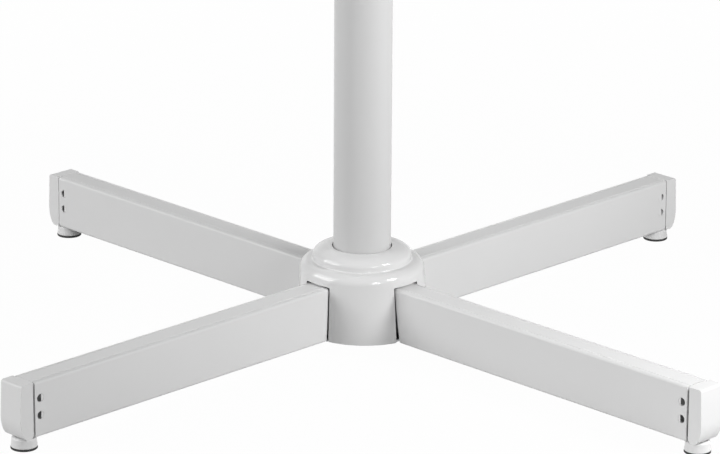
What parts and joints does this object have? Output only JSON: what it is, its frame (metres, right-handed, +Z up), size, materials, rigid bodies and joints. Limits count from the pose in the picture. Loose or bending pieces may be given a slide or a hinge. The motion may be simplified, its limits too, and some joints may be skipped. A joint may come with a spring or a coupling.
{
  "type": "rotary clothesline",
  "caption": "Free-standing rotary clothesline: cross base with screw feet, round turning mast, and fold-up line arms carried by a clamped slider and struts.",
  "frame": {"origin": "on the floor under the mast's axis, at the bottom of the foot pads", "axes": "+Z up along the mast, +X to the right and +Y to the back as seen from the front; legs and arms on the diagonals"},
  "size_m": [1.1614, 1.1614, 1.7691],
  "materials": {
    "painted_tube": "smooth semi-gloss light grey paint",
    "cover_gloss": "gloss light grey moulding",
    "light_plastic": "satin light grey moulding",
    "rubber": "matte black",
    "cast_aluminium": "as cast",
    "arm_aluminium": "satin drawn tube",
    "plated_steel": "zinc plated",
    "bush_plastic": "dark bearing plastic",
    "knob_plastic": "fine-textured dark grey"
  },
  "bodies": {
    "base": {"hub_cover": "cover_gloss", "hub_core": "cast_aluminium", "mast_bush_lower": "bush_plastic", "mast_bush_upper": "bush_plastic", "leg_tube_back_right": "painted_tube", "end_cap_back_right": "light_plastic", "leg_bolt_back_right": "plated_steel", "leg_tube_back_left": "painted_tube", "end_cap_back_left": "light_plastic", "leg_bolt_back_left": "plated_steel", "leg_tube_front_left": "painted_tube", "end_cap_front_left": "light_plastic", "leg_bolt_front_left": "plated_steel", "leg_tube_front_right": "painted_tube", "end_cap_front_right": "light_plastic", "leg_bolt_front_right": "plated_steel"},
    "mast": {"mast_tube": "painted_tube", "mast_bottom_plug": "light_plastic", "mast_top_cap": "light_plastic", "crown": "light_plastic", "strut_pin_back_right": "plated_steel", "strut_pin_back_left": "plated_steel", "strut_pin_front_left": "plated_steel", "strut_pin_front_right": "plated_steel"},
    "carriage": {"slider": "light_plastic", "clamp_nut": "plated_steel", "clamp_shoe": "bush_plastic", "arm_pin_back_right": "plated_steel", "arm_pin_back_left": "plated_steel", "arm_pin_front_left": "plated_steel", "arm_pin_front_right": "plated_steel"},
    "clamp": {"clamp_knob": "knob_plastic"},
    "arm_back_right": {"arm_back_right": "arm_aluminium", "arm_cap_back_right": "light_plastic"},
    "arm_back_left": {"arm_back_left": "arm_aluminium", "arm_cap_back_left": "light_plastic"},
    "arm_front_left": {"arm_front_left": "arm_aluminium", "arm_cap_front_left": "light_plastic"},
    "arm_front_right": {"arm_front_right": "arm_aluminium", "arm_cap_front_right": "light_plastic"},
    "strut_back_right": {"strut_back_right": "arm_aluminium", "strut_rivet_back_right": "plated_steel"},
    "strut_back_left": {"strut_back_left": "arm_aluminium", "strut_rivet_back_left": "plated_steel"},
    "strut_front_left": {"strut_front_left": "arm_aluminium", "strut_rivet_front_left": "plated_steel"},
    "strut_front_right": {"strut_front_right": "arm_aluminium", "strut_rivet_front_right": "plated_steel"},
    "foot_back_right": {"foot_back_right": "light_plastic", "foot_pad_back_right": "rubber"},
    "foot_back_left": {"foot_back_left": "light_plastic", "foot_pad_back_left": "rubber"},
    "foot_front_left": {"foot_front_left": "light_plastic", "foot_pad_front_left": "rubber"},
    "foot_front_right": {"foot_front_right": "light_plastic", "foot_pad_front_right": "rubber"}
  },
  "joints": [
    {"name": "mast_turn", "type": "hinge", "parent": "base", "child": "mast", "pos_m": [0, 0, 0.02], "axis": [0, 0, 1], "continuous": true},
    {"name": "slider_slide", "type": "slide", "parent": "mast", "child": "carriage", "axis": [0, 0, -1], "range_m": [0, 0.4989]},
    {"name": "clamp_turn", "type": "hinge", "parent": "carriage", "child": "clamp", "pos_m": [0, -0.05, 1.3], "axis": [0, -1, 0], "range_deg": [0, 360]},
    {"name": "arm_back_right_fold", "type": "hinge", "parent": "carriage", "child": "arm_back_right", "pos_m": [0.03253, 0.03253, 1.33], "axis": [0.7071, -0.7071, 0], "range_deg": [0, 67.1]},
    {"name": "arm_back_left_fold", "type": "hinge", "parent": "carriage", "child": "arm_back_left", "pos_m": [-0.03253, 0.03253, 1.33], "axis": [0.7071, 0.7071, 0], "range_deg": [0, 67.1]},
    {"name": "arm_front_left_fold", "type": "hinge", "parent": "carriage", "child": "arm_front_left", "pos_m": [-0.03253, -0.03253, 1.33], "axis": [-0.7071, 0.7071, 0], "range_deg": [0, 67.1]},
    {"name": "arm_front_right_fold", "type": "hinge", "parent": "carriage", "child": "arm_front_right", "pos_m": [0.03253, -0.03253, 1.33], "axis": [-0.7071, -0.7071, 0], "range_deg": [0, 67.1]},
    {"name": "strut_back_right_fold", "type": "hinge", "parent": "mast", "child": "strut_back_right", "pos_m": [0.02828, 0.02828, 1.72], "axis": [-0.7071, 0.7071, 0], "range_deg": [0, 55.1]},
    {"name": "strut_back_left_fold", "type": "hinge", "parent": "mast", "child": "strut_back_left", "pos_m": [-0.02828, 0.02828, 1.72], "axis": [-0.7071, -0.7071, 0], "range_deg": [0, 55.1]},
    {"name": "strut_front_left_fold", "type": "hinge", "parent": "mast", "child": "strut_front_left", "pos_m": [-0.02828, -0.02828, 1.72], "axis": [0.7071, -0.7071, 0], "range_deg": [0, 55.1]},
    {"name": "strut_front_right_fold", "type": "hinge", "parent": "mast", "child": "strut_front_right", "pos_m": [0.02828, -0.02828, 1.72], "axis": [0.7071, 0.7071, 0], "range_deg": [0, 55.1]},
    {"name": "foot_back_right_screw", "type": "slide", "parent": "base", "child": "foot_back_right", "axis": [0, 0, -1], "range_m": [0, 0.008]},
    {"name": "foot_back_left_screw", "type": "slide", "parent": "base", "child": "foot_back_left", "axis": [0, 0, -1], "range_m": [0, 0.008]},
    {"name": "foot_front_left_screw", "type": "slide", "parent": "base", "child": "foot_front_left", "axis": [0, 0, -1], "range_m": [0, 0.008]},
    {"name": "foot_front_right_screw", "type": "slide", "parent": "base", "child": "foot_front_right", "axis": [0, 0, -1], "range_m": [0, 0.008]}
  ],
  "couplings": [
    {"joint": "arm_back_right_fold", "follows": "slider_slide", "rad_per_m": 2.3439},
    {"joint": "arm_back_left_fold", "follows": "slider_slide", "rad_per_m": 2.3439},
    {"joint": "arm_front_left_fold", "follows": "slider_slide", "rad_per_m": 2.3439},
    {"joint": "arm_front_right_fold", "follows": "slider_slide", "rad_per_m": 2.3439},
    {"joint": "strut_back_right_fold", "follows": "slider_slide", "rad_per_m": 1.9242},
    {"joint": "strut_back_left_fold", "follows": "slider_slide", "rad_per_m": 1.9242},
    {"joint": "strut_front_left_fold", "follows": "slider_slide", "rad_per_m": 1.9242},
    {"joint": "strut_front_right_fold", "follows": "slider_slide", "rad_per_m": 1.9242}
  ]
}
